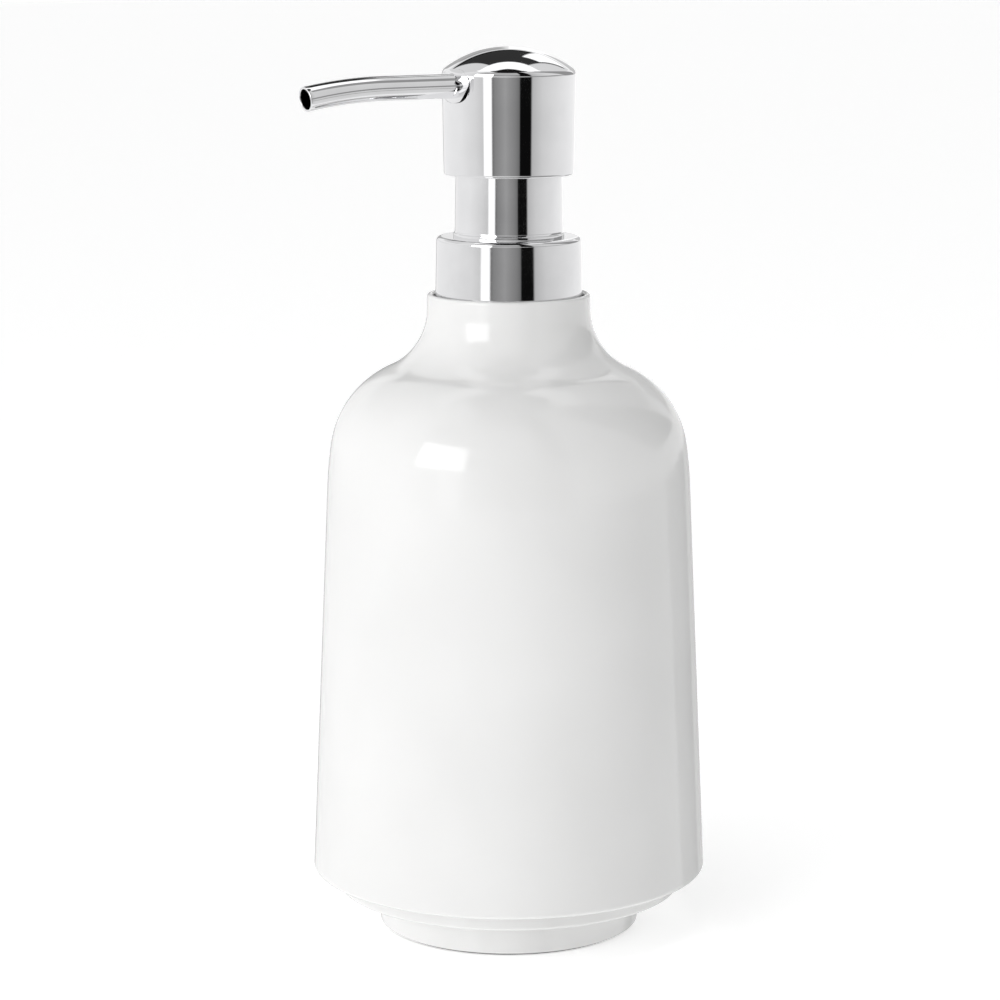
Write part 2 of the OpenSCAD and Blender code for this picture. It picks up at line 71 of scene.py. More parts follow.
def arcPoints(centre, radius, fromDeg, toDeg, steps):
    # points along an arc in the r-z plane, its start included
    angles = [math.radians(fromDeg + (toDeg - fromDeg) * i / steps) for i in range(steps + 1)]
    return [(centre[0] + radius * math.cos(a), centre[1] + radius * math.sin(a)) for a in angles]


def withHolds(points, longest=1.5 * mm, hold=0.12 * mm, shortest=1e-4 * mm):
    # extra points close to the ends of each long straight stretch keep its shading flat; repeated points go
    held = [points[0]]
    for a, b in zip(points, points[1:]):
        run = math.dist(a, b)
        if run > longest:
            for t in (hold / run, 1 - hold / run):
                held.append((a[0] + (b[0] - a[0]) * t, a[1] + (b[1] - a[1]) * t))
        if run > shortest:
            held.append(b)
    return held


def spinOutline(name, points, steps):
    # one vertex is extruded along the outline, then the outline is spun round the pump's axis
    clearSelection()
    bpy.ops.mesh.primitive_plane_add(size=mm, location=(points[0][0], 0, points[0][1]))
    piece = bpy.context.object
    piece.name = name
    bpy.ops.object.transform_apply(location=True, rotation=False, scale=False)
    bpy.ops.object.mode_set(mode="EDIT")
    bpy.ops.mesh.select_all(action="SELECT")
    bpy.ops.mesh.merge(type="CENTER")
    for a, b in zip(points, points[1:]):
        step = (b[0] - a[0], 0, b[1] - a[1])
        bpy.ops.mesh.extrude_region_move(TRANSFORM_OT_translate={"value": step})
    bpy.ops.mesh.select_all(action="SELECT")
    bpy.ops.mesh.spin(steps=steps, angle=2 * math.pi, center=(0, 0, 0), axis=(0, 0, 1))
    bpy.ops.mesh.select_all(action="SELECT")
    bpy.ops.mesh.remove_doubles(threshold=weld["outline"])
    bpy.ops.mesh.normals_make_consistent(inside=False)
    bpy.ops.object.mode_set(mode="OBJECT")
    bpy.ops.object.shade_smooth_by_angle(angle=math.radians(smoothDeg["spun"]))
    return piece


def applyModifier(piece, kind, **settings):
    makeActive(piece)
    modifier = piece.modifiers.new(kind.title(), kind)
    for key, value in settings.items():
        setattr(modifier, key, value)
    bpy.ops.object.modifier_apply(modifier=modifier.name)


def finishPiece(piece, body, nodeName, material):
    piece.data.materials.clear()
    piece.data.materials.append(material)
    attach(piece, body)
    if nodeName:
        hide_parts(nodeName)


# ---------- materials ----------

def newMaterial(name):
    material = bpy.data.materials.new(name)
    material.use_nodes = True
    tree = material.node_tree
    shader = next(n for n in tree.nodes if n.type == "BSDF_PRINCIPLED")
    return material, tree, shader


def objectNoise(tree, scale, stretch=(1, 1, 1), detail=3.0, roughness=0.5):
    # noise in the piece's own space, stretched along its axes
    coords = tree.nodes.new("ShaderNodeTexCoord")
    mapping = tree.nodes.new("ShaderNodeMapping")
    noise = tree.nodes.new("ShaderNodeTexNoise")
    mapping.inputs["Scale"].default_value = stretch
    noise.inputs["Scale"].default_value = scale
    noise.inputs["Detail"].default_value = detail
    noise.inputs["Roughness"].default_value = roughness
    tree.links.new(coords.outputs["Object"], mapping.inputs["Vector"])
    tree.links.new(mapping.outputs["Vector"], noise.inputs["Vector"])
    return noise.outputs["Fac"]


def rangeOf(tree, value, low, high, fromLow=0.3, fromHigh=0.7):
    node = tree.nodes.new("ShaderNodeMapRange")
    node.inputs["From Min"].default_value = fromLow
    node.inputs["From Max"].default_value = fromHigh
    node.inputs["To Min"].default_value = low
    node.inputs["To Max"].default_value = high
    tree.links.new(value, node.inputs["Value"])
    return node.outputs["Result"]


def twoTone(tree, value, dark, light):
    ramp = tree.nodes.new("ShaderNodeValToRGB")
    ramp.color_ramp.elements[0].position = 0.3
    ramp.color_ramp.elements[0].color = (*dark, 1)
    ramp.color_ramp.elements[1].position = 0.7
    ramp.color_ramp.elements[1].color = (*light, 1)
    tree.links.new(value, ramp.inputs["Fac"])
    return ramp.outputs["Color"]


def addBump(tree, shader, value, strength, distance):
    bump = tree.nodes.new("ShaderNodeBump")
    bump.inputs["Strength"].default_value = strength
    bump.inputs["Distance"].default_value = distance
    tree.links.new(value, bump.inputs["Height"])
    tree.links.new(bump.outputs["Normal"], shader.inputs["Normal"])


def mouldedPlastic(name, settings):
    # plastic with a faint flow mottling, a roughness that wanders and a fine skin
    material, tree, shader = newMaterial(name)
    mottling = objectNoise(tree, settings["mottleScale"], detail=2)
    tree.links.new(twoTone(tree, mottling, settings["dark"], settings["light"]), shader.inputs["Base Color"])
    wander = objectNoise(tree, settings["wanderScale"], detail=4)
    low, high = settings["roughness"]
    tree.links.new(rangeOf(tree, wander, low, high), shader.inputs["Roughness"])
    shader.inputs["IOR"].default_value = settings.get("ior", 1.5)
    shader.inputs["Coat Weight"].default_value = settings.get("coat", 0)
    shader.inputs["Coat Roughness"].default_value = settings.get("coatRoughness", 0.03)
    shader.inputs["Subsurface Weight"].default_value = settings.get("glow", 0)
    shader.inputs["Subsurface Radius"].default_value = (2 * mm,) * 3
    shader.inputs["Subsurface Scale"].default_value = 1
    skin = objectNoise(tree, settings["skinScale"], detail=2)
    addBump(tree, shader, skin, settings["skinStrength"], settings["skinDepth"])
    return material


def platedMetal(name, settings):
    # plated metal: lines left round the piece by polishing, and faint cloudy wiping marks
    material, tree, shader = newMaterial(name)
    clouds = objectNoise(tree, settings["cloudScale"], detail=5)
    tree.links.new(twoTone(tree, clouds, settings["dark"], settings["light"]), shader.inputs["Base Color"])
    shader.inputs["Metallic"].default_value = 1
    lines = objectNoise(tree, settings["lineScale"], stretch=settings["lineStretch"], detail=3, roughness=0.7)
    mixed = tree.nodes.new("ShaderNodeMath")
    mixed.operation = "ADD"
    low, high = settings["roughness"]
    tree.links.new(rangeOf(tree, clouds, low, high), mixed.inputs[0])
    tree.links.new(rangeOf(tree, lines, 0, settings["lineRoughness"]), mixed.inputs[1])
    tree.links.new(mixed.outputs["Value"], shader.inputs["Roughness"])
    addBump(tree, shader, lines, settings["lineStrength"], settings["lineDepth"])
    return material


finishes = {
    "bottle": mouldedPlastic("whiteGlossPlastic", {
        "dark": (0.80, 0.80, 0.795), "light": (0.84, 0.84, 0.835), "mottleScale": 30, "wanderScale": 60,
        "roughness": (0.09, 0.15), "coat": 0.3, "coatRoughness": 0.02, "glow": 0.06,
        "skinScale": 900, "skinStrength": 0.04, "skinDepth": 0.02 * mm}),
    "base": mouldedPlastic("whiteBasePlastic", {
        "dark": (0.77, 0.77, 0.765), "light": (0.82, 0.82, 0.815), "mottleScale": 35, "wanderScale": 70,
        "roughness": (0.14, 0.24), "coat": 0.3, "coatRoughness": 0.05, "glow": 0.05,
        "skinScale": 900, "skinStrength": 0.06, "skinDepth": 0.02 * mm}),
    "innerWhite": mouldedPlastic("milkyInnerPlastic", {
        "dark": (0.72, 0.72, 0.71), "light": (0.80, 0.80, 0.79), "mottleScale": 120, "wanderScale": 200,
        "roughness": (0.28, 0.42), "glow": 0.15,
        "skinScale": 2500, "skinStrength": 0.15, "skinDepth": 0.02 * mm}),
    "insert": mouldedPlastic("ivoryInsertPlastic", {
        "dark": (0.70, 0.69, 0.64), "light": (0.78, 0.77, 0.73), "mottleScale": 90, "wanderScale": 160,
        "roughness": (0.30, 0.45), "glow": 0.1,
        "skinScale": 2500, "skinStrength": 0.15, "skinDepth": 0.02 * mm}),
    "core": mouldedPlastic("darkCorePlastic", {
        "dark": (0.05, 0.05, 0.052), "light": (0.08, 0.08, 0.083), "mottleScale": 150, "wanderScale": 300,
        "roughness": (0.30, 0.45), "skinScale": 3000, "skinStrength": 0.2, "skinDepth": 0.02 * mm}),
    "piston": mouldedPlastic("softPistonPlastic", {
        "dark": (0.60, 0.64, 0.68), "light": (0.68, 0.71, 0.75), "mottleScale": 120, "wanderScale": 240,
        "roughness": (0.35, 0.5), "glow": 0.2,
        "skinScale": 2500, "skinStrength": 0.15, "skinDepth": 0.02 * mm}),
    "pad": mouldedPlastic("greyPadRubber", {
        "dark": (0.10, 0.10, 0.10), "light": (0.14, 0.14, 0.14), "mottleScale": 200, "wanderScale": 400,
        "roughness": (0.6, 0.8), "skinScale": 1600, "skinStrength": 0.6, "skinDepth": 0.08 * mm}),
    "gasket": mouldedPlastic("darkGasketRubber", {
        "dark": (0.03, 0.03, 0.032), "light": (0.05, 0.05, 0.052), "mottleScale": 200, "wanderScale": 400,
        "roughness": (0.5, 0.7), "skinScale": 2000, "skinStrength": 0.4, "skinDepth": 0.05 * mm}),
    "mirror": platedMetal("mirrorPlating", {
        "dark": (0.83, 0.83, 0.84), "light": (0.88, 0.88, 0.89), "cloudScale": 120, "roughness": (0.015, 0.05),
        "lineScale": 40, "lineStretch": (1, 1, 60), "lineRoughness": 0.02,
        "lineStrength": 0.03, "lineDepth": 0.01 * mm}),
    "brushed": platedMetal("brushedPlating", {
        "dark": (0.80, 0.80, 0.81), "light": (0.87, 0.87, 0.88), "cloudScale": 120, "roughness": (0.025, 0.05),
        "lineScale": 60, "lineStretch": (1, 1, 70), "lineRoughness": 0.05,
        "lineStrength": 0.12, "lineDepth": 0.015 * mm}),
    "steel": platedMetal("drawnSteel", {
        "dark": (0.52, 0.52, 0.52), "light": (0.64, 0.64, 0.64), "cloudScale": 300, "roughness": (0.14, 0.28),
        "lineScale": 200, "lineStretch": (1, 1, 6), "lineRoughness": 0.1,
        "lineStrength": 0.15, "lineDepth": 0.02 * mm}),
}


def clearTubing(name, settings):
    # milky drawn plastic that lets some light through, with streaks along it
    material, tree, shader = newMaterial(name)
    streaks = objectNoise(tree, settings["streakScale"], stretch=settings["streakStretch"], detail=3)
    tree.links.new(twoTone(tree, streaks, settings["dark"], settings["light"]), shader.inputs["Base Color"])
    low, high = settings["roughness"]
    tree.links.new(rangeOf(tree, streaks, low, high), shader.inputs["Roughness"])
    shader.inputs["Transmission Weight"].default_value = settings["clearness"]
    shader.inputs["IOR"].default_value = 1.5
    addBump(tree, shader, streaks, settings["streakStrength"], settings["streakDepth"])
    return material


finishes["tube"] = clearTubing("milkyTubePlastic", {
    "dark": (0.74, 0.75, 0.74), "light": (0.83, 0.84, 0.83), "roughness": (0.22, 0.36), "clearness": 0.35,
    "streakScale": 300, "streakStretch": (1, 1, 0.05), "streakStrength": 0.1, "streakDepth": 0.02 * mm})
print("materials made:", len(finishes))


# ---------- bottle ----------

bottle = {
    "shoulderR": 38.9 * mm, "shoulderZ": 96.2 * mm,      # end of the straight wall
    "browR": 95.3 * mm, "browDeg": 8,                    # slow curve that starts the shoulder
    "crownR": 21.2 * mm, "throatR": 14 * mm,             # round of the shoulder, hollow under the rim
    "neckR": 17.35 * mm, "recessR": 16.1 * mm,           # outside of the rim, recess for the collar
    "seatDepth": 8.2 * mm, "seatHoleR": 13.62 * mm,      # shelf that the neck insert is bonded to
    "wall": 2.6 * mm, "edgeR": 1 * mm, "openingR": 36.1 * mm,
    "browSteps": 6, "crownSteps": 30, "throatSteps": 26, "edgeSteps": 8, "rimSteps": 14, "turns": 160,
}


def shoulderLine(b, inset, lowR, lowZ, lastDeg):
    # wall, shoulder and hollow as one smooth line, or the same line set inwards by a wall
    lean = math.atan2(lowR - b["shoulderR"], b["shoulderZ"] - lowZ)
    brow = (b["shoulderR"] - b["browR"] * math.cos(lean), b["shoulderZ"] - b["browR"] * math.sin(lean))
    turn = math.radians(b["browDeg"])
    reach = b["browR"] - b["crownR"]
    crown = (brow[0] + reach * math.cos(turn), brow[1] + reach * math.sin(turn))
    both = b["crownR"] + b["throatR"]
    throatA = math.acos((b["neckR"] - crown[0] + b["throatR"]) / both)
    throat = (crown[0] + both * math.cos(throatA), crown[1] + both * math.sin(throatA))
    throatDeg = math.degrees(throatA)
    leanDeg = math.degrees(lean)
    line = arcPoints(brow, b["browR"] - inset, leanDeg, b["browDeg"], b["browSteps"])
    line += arcPoints(crown, b["crownR"] - inset, b["browDeg"], throatDeg, b["crownSteps"])[1:]
    endDeg = 180 + lastDeg(throat)
    line += arcPoints(throat, b["throatR"] + inset, 180 + throatDeg, endDeg, b["throatSteps"])[1:]
    return line, lean


def makeBottle(b):
    low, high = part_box("bottle_body")
    lowZ, rimZ, lowR = low.z, high.z, high.x
    seatZ = rimZ - b["seatDepth"]
    shelfZ = seatZ - b["wall"]
    floorZ = lowZ + b["wall"]
    roundR = (b["neckR"] - b["recessR"]) / 2

    def innerEnd(throat):
        # where the inner line meets the underside of the shelf
        return math.degrees(math.asin((throat[1] - shelfZ) / (b["throatR"] + b["wall"])))

    outer, lean = shoulderLine(b, 0, lowR, lowZ, lambda throat: 0)
    inner, _ = shoulderLine(b, b["wall"], lowR, lowZ, innerEnd)
    wallRise = (b["shoulderZ"] - floorZ) * math.tan(lean)
    innerFootR = b["shoulderR"] + wallRise - b["wall"] / math.cos(lean)
    edge = arcPoints((lowR - b["edgeR"], lowZ + b["edgeR"]), b["edgeR"], -90, 0, b["edgeSteps"])
    rim = arcPoints((b["neckR"] - roundR, rimZ - roundR), roundR, 0, 180, b["rimSteps"])
    outline = [(b["openingR"], lowZ), *edge, *outer, *rim, (b["recessR"], seatZ)]
    outline += [(b["seatHoleR"], seatZ), (b["seatHoleR"], shelfZ), *reversed(inner)]
    outline += [(innerFootR, floorZ), (b["openingR"], floorZ), (b["openingR"], lowZ)]
    shell = spinOutline("bottleShell", withHolds(outline), b["turns"])
    finishPiece(shell, "bottle", "bottle_body", finishes["bottle"])


makeBottle(bottle)
print("bottle made")


# ---------- base: step and foot ----------

base = {
    "stepR": 37.3 * mm, "stepH": 4 * mm, "stepEdgeR": 0.8 * mm,
    "footTopR": 29.4 * mm, "footLowR": 28.1 * mm, "footEdgeR": 0.4 * mm, "cornerR": 0.4 * mm,
    "padR": 27.12 * mm, "padT": 1.7 * mm, "pocketR": 24.6 * mm, "roofH": 1.5 * mm,
    "spigotR": 36.08 * mm, "spigotWall": 2.5 * mm, "turns": 160,
}


def makeBase(b):
    low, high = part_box("base_plug")
    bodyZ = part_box("bottle_body")[0].z
    stepZ = bodyZ - b["stepH"]
    roofZ = stepZ + b["roofH"]
    spigotInR = b["spigotR"] - b["spigotWall"]
    edgeR, cornerR, stepEdgeR = b["footEdgeR"], b["cornerR"], b["stepEdgeR"]
    footEdge = arcPoints((b["footLowR"] - edgeR, low.z + edgeR), edgeR, -90, 0, 6)
    corner = arcPoints((b["footTopR"] + cornerR, stepZ - cornerR), cornerR, 180, 90, 4)
    stepEdge = arcPoints((b["stepR"] - stepEdgeR, stepZ + stepEdgeR), stepEdgeR, -90, 0, 7)
    outline = [(0, roofZ), (b["pocketR"], roofZ), (b["pocketR"], b["padT"]), (b["padR"], b["padT"])]
    outline += [(b["padR"], low.z), *footEdge, *corner, *stepEdge, (b["stepR"], bodyZ), (b["spigotR"], bodyZ)]
    outline += [(b["spigotR"], high.z), (spigotInR, high.z), (spigotInR, bodyZ), (0, bodyZ)]
    foot = spinOutline("steppedBase", withHolds(outline), b["turns"])
    finishPiece(foot, "bottle", "base_plug", finishes["base"])


makeBase(base)
print("base made")


# ---------- collar and sleeve ----------

collar = {
    "topR": 15.3 * mm, "edgeR": 1 * mm, "sheet": 0.6 * mm, "rollR": 0.25 * mm,
    "holeR": 10.85 * mm, "holeBreak": 0.1 * mm, "turns": 128,
}


def makeCollar(c):
    low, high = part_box("collar_cover")
    lowR = high.x
    shellR = lowR + (c["topR"] - lowR) * (1 - c["edgeR"] / (high.z - low.z))
    topEdge = arcPoints((shellR - c["edgeR"], high.z - c["edgeR"]), c["edgeR"], 0, 90, 12)
    inEdge = c["edgeR"] - c["sheet"]
    innerR = shellR - c["sheet"]
    underEdge = arcPoints((innerR - inEdge, high.z - c["sheet"] - inEdge), inEdge, 90, 0, 6)
    roll = c["rollR"]
    lowLip = arcPoints((lowR - roll, low.z + roll), roll, -180, 0, 8)
    holeR, holeBreak = c["holeR"], c["holeBreak"]
    outline = [*lowLip, *topEdge, (holeR + holeBreak, high.z), (holeR, high.z - holeBreak)]
    outline += [(holeR, high.z - c["sheet"]), *underEdge, (lowR - c["sheet"], low.z + roll), lowLip[0]]
    ring = spinOutline("collarRing", withHolds(outline), c["turns"])
    finishPiece(ring, "closure", "collar_cover", finishes["brushed"])


sleeve = {
    "lowR": 11.45 * mm, "topR": 11.2 * mm, "sheet": 0.6 * mm, "topRound": 0.5 * mm, "holeR": 9.15 * mm,
    "lipW": 0.3 * mm, "lipH": 0.6 * mm, "lipRaise": 0.2 * mm, "lipFade": 0.5 * mm, "lipSink": 0.03 * mm,
    "turns": 128,
}


def makeSleeve(s):
    low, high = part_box("sleeve_cover")
    lipR = s["lowR"] + s["lipW"]
    lipRound = s["lipW"] * 0.9
    lip = arcPoints((lipR - lipRound, low.z + s["lipH"] - lipRound + s["lipRaise"]), lipRound, 0, 80, 6)
    topEdge = arcPoints((s["topR"] - s["topRound"], high.z - s["topRound"]), s["topRound"], 0, 90, 8)
    outline = [(s["lowR"] - s["sheet"], low.z), (lipR, low.z), *lip]
    outline += [(s["lowR"] - s["lipSink"], low.z + s["lipH"] + s["lipFade"]), *topEdge, (s["holeR"], high.z)]
    outline += [(s["holeR"], high.z - s["sheet"]), (s["topR"] - s["sheet"], high.z - s["sheet"])]
    outline += [(s["lowR"] - s["sheet"], low.z)]
    tube = spinOutline("towerSleeve", withHolds(outline), s["turns"])
    finishPiece(tube, "closure", "sleeve_cover", finishes["brushed"])


makeCollar(collar)
makeSleeve(sleeve)
print("collar and sleeve made")


# ---------- head ----------

head = {
    "lowR": 13.7 * mm, "domeIn": 1 * mm, "domeRise": 4.2 * mm, "edgeR": 1.6 * mm, "wall": 0.8 * mm,
    "lowRound": 0.25 * mm, "sideRows": 36, "edgeSteps": 14, "domeSteps": 26, "innerSteps": 16, "turns": 144,
    "spoutUp": 18.8 * mm, "pocketR": 3.2 * mm, "pocketSide": 1.6 * mm, "pocketIn": 3 * mm, "pocketPoints": 40,
    "pocketLip": 0.4 * mm, "pocketLipSide": 0.8 * mm,   # how far the mouth opens up and down, and sideways
    "lipDegs": (0, 20, 40, 58), "lipEnd": (0.6, 1.1),   # turns of the mouth's round, then the last ring
    "pocketTurn": 0.001,                                # keeps the pocket's points off the head's own
}


def measureHead(h):
    # places worked out once from the head's box: dome radius and centre height, centre height of the rounding
    low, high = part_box("head_shell")
    topR = high.y
    halfW = topR - h["domeIn"]
    domeR = (halfW ** 2 + h["domeRise"] ** 2) / (2 * h["domeRise"])
    domeZ = high.z - domeR
    edgeZ = domeZ + math.sqrt((domeR - h["edgeR"]) ** 2 - (topR - h["edgeR"]) ** 2)
    tilt = math.atan2(edgeZ - domeZ, topR - h["edgeR"])
    return {"lowZ": low.z, "topR": topR, "domeR": domeR, "domeZ": domeZ, "edgeZ": edgeZ, "tilt": tilt}


def domeLine(h, m, inset, domeSteps):
    # the head's outline from its widest place to its top, or the same line set inwards
    tiltDeg = math.degrees(m["tilt"])
    line = arcPoints((m["topR"] - h["edgeR"], m["edgeZ"]), h["edgeR"] - inset, 0, tiltDeg, h["edgeSteps"])
    return line + arcPoints((0, m["domeZ"]), m["domeR"] - inset, tiltDeg, 90, domeSteps)[1:]


def headRadius(h, m, z):
    # outside radius of the head at a height, for the pocket's rounded mouth
    if z <= m["edgeZ"]:
        return h["lowR"] + (m["topR"] - h["lowR"]) * (z - m["lowZ"]) / (m["edgeZ"] - m["lowZ"])
    if z <= m["edgeZ"] + h["edgeR"] * math.sin(m["tilt"]):
        return m["topR"] - h["edgeR"] + math.sqrt(h["edgeR"] ** 2 - (z - m["edgeZ"]) ** 2)
    return math.sqrt(m["domeR"] ** 2 - (z - m["domeZ"]) ** 2)


def pocketRing(h, grow, axisZ):
    # outline of the oval pocket, seen along the spout: (sideways, up) pairs; its lip is wider at the sides
    count = h["pocketPoints"]
    growSide = grow * h["pocketLipSide"] / h["pocketLip"]
    ring = []
    for i in range(count):
        a = 2 * math.pi * i / count + h["pocketTurn"]
        side = math.copysign(h["pocketSide"], math.cos(a)) + (h["pocketR"] + growSide) * math.cos(a)
        ring.append((side, axisZ + (h["pocketR"] + grow) * math.sin(a)))
    return ring


def makePocketCutter(h, m, axisZ):
    # a prism along the spout whose mouth flares in a quarter round that follows the head's surface
    lip = h["pocketLip"]
    turns = [math.radians(deg) for deg in h["lipDegs"]]
    flare = [(-h["pocketIn"], 0)] + [(-lip * (1 - math.sin(t)), lip * (1 - math.cos(t))) for t in turns]
    flare += [tuple(lip * part for part in h["lipEnd"])]
    clearSelection()
    bpy.ops.mesh.primitive_circle_add(vertices=h["pocketPoints"], radius=h["pocketR"], fill_type="NGON")
    cutter = bpy.context.object
    cutter.name = "pocketCutter"
    bpy.ops.object.mode_set(mode="EDIT")
    bpy.ops.mesh.select_all(action="SELECT")
    for _ in flare[1:]:
        bpy.ops.mesh.extrude_region_move(TRANSFORM_OT_translate={"value": (0, 0, mm)})
    bpy.ops.object.mode_set(mode="OBJECT")
    # each ring of the stack moves to its depth along the spout
    rings = {}
    for v in cutter.data.vertices:
        rings.setdefault(round(v.co.z / mm), []).append(v)
    for k, ring in rings.items():
        depth, grow = flare[k]
        ring.sort(key=lambda v: math.atan2(v.co.y, v.co.x) % (2 * math.pi))
        for v, (side, up) in zip(ring, pocketRing(h, grow, axisZ)):
            surface = math.sqrt(headRadius(h, m, up) ** 2 - side ** 2)
            v.co = (-(surface + depth), side, up)
    bpy.ops.object.mode_set(mode="EDIT")
    bpy.ops.mesh.select_all(action="SELECT")
    bpy.ops.mesh.normals_make_consistent(inside=False)
    if bmesh.from_edit_mesh(cutter.data).calc_volume(signed=True) < 0:
        bpy.ops.mesh.flip_normals()
    bpy.ops.object.mode_set(mode="OBJECT")
    return cutter


def makeHead(h):
    m = measureHead(h)
    rows = h["sideRows"]
    r0 = h["lowRound"]
    lowZ = m["lowZ"]
    lowLip = arcPoints((h["lowR"] - r0, lowZ + r0), r0, -180, 0, 8)
    side = []
    for i in range(1, rows):
        z = lowZ + r0 + (m["edgeZ"] - lowZ - r0) * i / rows
        side.append((headRadius(h, m, z), z))
    inner = [*reversed(domeLine(h, m, h["wall"], h["innerSteps"])), (h["lowR"] - h["wall"], lowZ + r0 * 1.5)]
    outline = [*inner, *lowLip, *side, *domeLine(h, m, 0, h["domeSteps"])]
    # the dome's two ends go exactly on the axis
    outline = [(0 if abs(r) < mm / 1000 else r, z) for r, z in outline]
    shell = spinOutline("domedHead", outline, h["turns"])
    cutter = makePocketCutter(h, m, lowZ + h["spoutUp"])
    # this solver gives the same mesh every time; the exact one sometimes loses the whole head
    applyModifier(shell, "BOOLEAN", object=cutter, operation="DIFFERENCE", solver="MANIFOLD")
    bpy.data.objects.remove(cutter)
    top = max((v.co.z for v in shell.data.vertices), default=0)
    if top < m["domeZ"] + m["domeR"] - weld["cut"]:
        raise RuntimeError("the pocket's cut lost the head")
    makeActive(shell)
    bpy.ops.object.mode_set(mode="EDIT")
    bpy.ops.mesh.select_all(action="SELECT")
    bpy.ops.mesh.remove_doubles(threshold=weld["cut"])
    bpy.ops.object.mode_set(mode="OBJECT")
    bpy.ops.object.shade_smooth_by_angle(angle=math.radians(smoothDeg["cut"]))
    finishPiece(shell, "head", "head_shell", finishes["mirror"])


makeHead(head)
print("head made")


# ---------- spout ----------

spout = {
    "outerR": 2.6 * mm, "sheet": 0.5 * mm, "rootX": -5 * mm, "bendX": -30 * mm, "straightSteps": 10,
    "bendR": 110 * mm, "bendDeg": 10, "bendSteps": 20, "sides": 64,
    "rimRound": 0.16 * mm, "rimSharpDeg": 60,
}


def makeSpout(s):
    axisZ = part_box("head_shell")[0].z + head["spoutUp"]
    clearSelection()
    bpy.ops.mesh.primitive_circle_add(vertices=s["sides"], radius=s["outerR"], location=(s["rootX"], 0, axisZ),
                                      rotation=(0, -math.pi / 2, 0))
    tube = bpy.context.object
    tube.name = "bentSpout"
    bpy.ops.object.transform_apply(location=True, rotation=True, scale=False)
    bpy.ops.object.mode_set(mode="EDIT")
    bpy.ops.mesh.select_all(action="SELECT")
    step = ((s["bendX"] - s["rootX"]) / s["straightSteps"], 0, 0)
    for _ in range(s["straightSteps"]):
        bpy.ops.mesh.extrude_region_move(TRANSFORM_OT_translate={"value": step})
    bpy.ops.mesh.spin(steps=s["bendSteps"], angle=math.radians(s["bendDeg"]),
                      center=(s["bendX"], 0, axisZ - s["bendR"]), axis=(0, 1, 0))
    bpy.ops.mesh.select_all(action="SELECT")
    bpy.ops.mesh.remove_doubles(threshold=weld["tube"])
    bpy.ops.mesh.normals_make_consistent(inside=False)
    bpy.ops.object.mode_set(mode="OBJECT")
    applyModifier(tube, "SOLIDIFY", thickness=s["sheet"], offset=-1, use_rim=True)
    applyModifier(tube, "BEVEL", width=s["rimRound"], segments=3, limit_method="ANGLE",
                  angle_limit=math.radians(s["rimSharpDeg"]))
    makeActive(tube)
    bpy.ops.object.shade_smooth_by_angle(angle=math.radians(smoothDeg["cut"]))
    finishPiece(tube, "head", "spout", finishes["mirror"])


makeSpout(spout)
print("spout made")


# ---------- spring: a smoothed copy of the frame's coil -----


def makeSpring():
    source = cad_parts["return_spring"]
    makeActive(source)
    bpy.ops.object.duplicate()
    coil = bpy.context.object
    coil.name = "coiledSpring"
    for key in [k for k in coil.keys() if k.startswith("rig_")]:
        del coil[key]
    coil.parent = None
    bpy.ops.object.mode_set(mode="EDIT")
    bpy.ops.mesh.select_all(action="SELECT")
    bpy.ops.mesh.remove_doubles(threshold=weld["tube"])
    bpy.ops.object.mode_set(mode="OBJECT")
    applyModifier(coil, "SUBSURF", levels=1, render_levels=1)
    makeActive(coil)
    bpy.ops.object.shade_smooth()
    finishPiece(coil, "spring", "return_spring", finishes["steel"])
    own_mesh(coil)


makeSpring()
print("spring made")


# ---------- finishes of the pieces that stay as they are ----------

keptFinishes = {
    "foot_pad": "pad", "neck_insert": "insert", "neck_gasket": "gasket", "pump_housing": "innerWhite",
    "stem_guide": "innerWhite", "dip_tube": "tube", "ball_cage": "innerWhite", "inlet_ball": "steel",
    "closure": "innerWhite", "actuator_core": "core", "stem": "innerWhite", "piston": "piston",
    "spring_cap": "innerWhite", "outlet_ball": "steel",
}

for nodeName, finish in keptFinishes.items():
    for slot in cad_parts[nodeName].material_slots:
        slot.material = finishes[finish]
print("kept pieces finished:", len(keptFinishes))


# ---------- floor, light and camera ----------

studio = {
    "azimuthDeg": -33, "distance": 0.7, "height": 0.22017, "downDeg": 10.296,
    "lens": 119.25, "sensor": 36, "sideShift": -0.0088, "nearest": 0.01,
    "floorSize": 12, "floorTone": 0.94, "floorGrain": 0.01, "floorGlow": 0.38,
}

